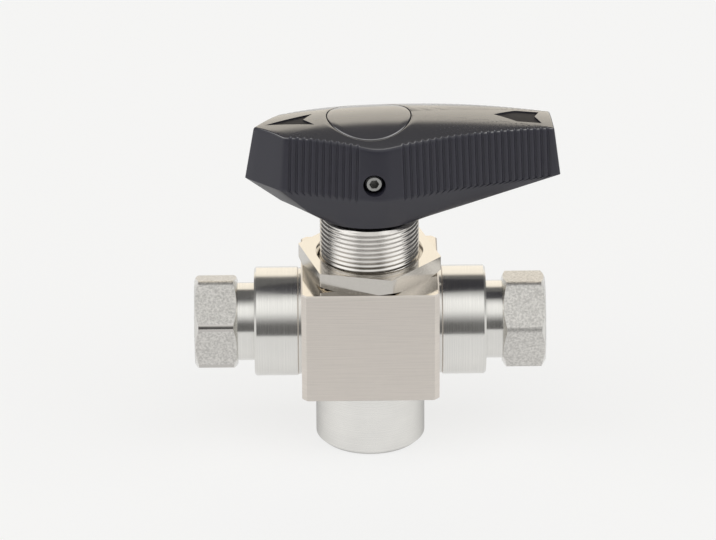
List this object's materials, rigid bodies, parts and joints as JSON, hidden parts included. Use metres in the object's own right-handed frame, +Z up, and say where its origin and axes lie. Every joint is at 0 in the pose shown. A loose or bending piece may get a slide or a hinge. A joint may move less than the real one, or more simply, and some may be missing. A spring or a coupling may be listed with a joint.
{
  "type": "three-way ball valve",
  "caption": "Compact high-pressure three-way ball valve with a square block body, hex end screws, bottom port, threaded panel neck and a black half-turn lever handle.",
  "frame": {"origin": "centre of the bottom port's mouth, on which the valve stands", "axes": "+Z up the stem, +X to the right-hand port, -Y to the face seen in front"},
  "size_m": [0.1055, 0.0404, 0.1018],
  "materials": {
    "body_steel": "fine ground",
    "turned_steel": "turned",
    "spring_steel": "satin",
    "peek": "machined PEEK",
    "ptfe": "machined PTFE",
    "seal_rubber": "moulded",
    "insert_brass": "machined",
    "handle_nylon": "satin moulded nylon",
    "screw_steel": "plain"
  },
  "bodies": {
    "body": {"valve_body": "body_steel", "panel_nut": "turned_steel", "left_end_screw": "turned_steel", "right_end_screw": "turned_steel", "left_end_seal": "ptfe", "right_end_seal": "ptfe", "left_seat": "peek", "right_seat": "peek", "left_seat_carrier": "turned_steel", "right_seat_carrier": "turned_steel", "left_seat_o_ring": "seal_rubber", "right_seat_o_ring": "seal_rubber", "left_seat_springs": "spring_steel", "right_seat_springs": "spring_steel", "lower_packing": "ptfe", "lower_gland": "turned_steel", "lower_bearing": "peek", "upper_bearing": "peek", "packing_support": "turned_steel", "stem_packing": "ptfe", "stem_gland": "turned_steel", "packing_springs": "spring_steel", "packing_bolt": "turned_steel", "stop_pin": "spring_steel"},
    "handle_and_stem": {"ball_stem": "turned_steel", "handle_insert": "insert_brass", "handle": "handle_nylon", "handle_cap": "handle_nylon", "handle_set_screw": "screw_steel"}
  },
  "joints": [
    {"name": "handle_turn", "type": "hinge", "parent": "body", "child": "handle_and_stem", "pos_m": [0, 0, 0.0361], "axis": [0, 0, 1], "range_deg": [-4.7, 175.3]}
  ]
}
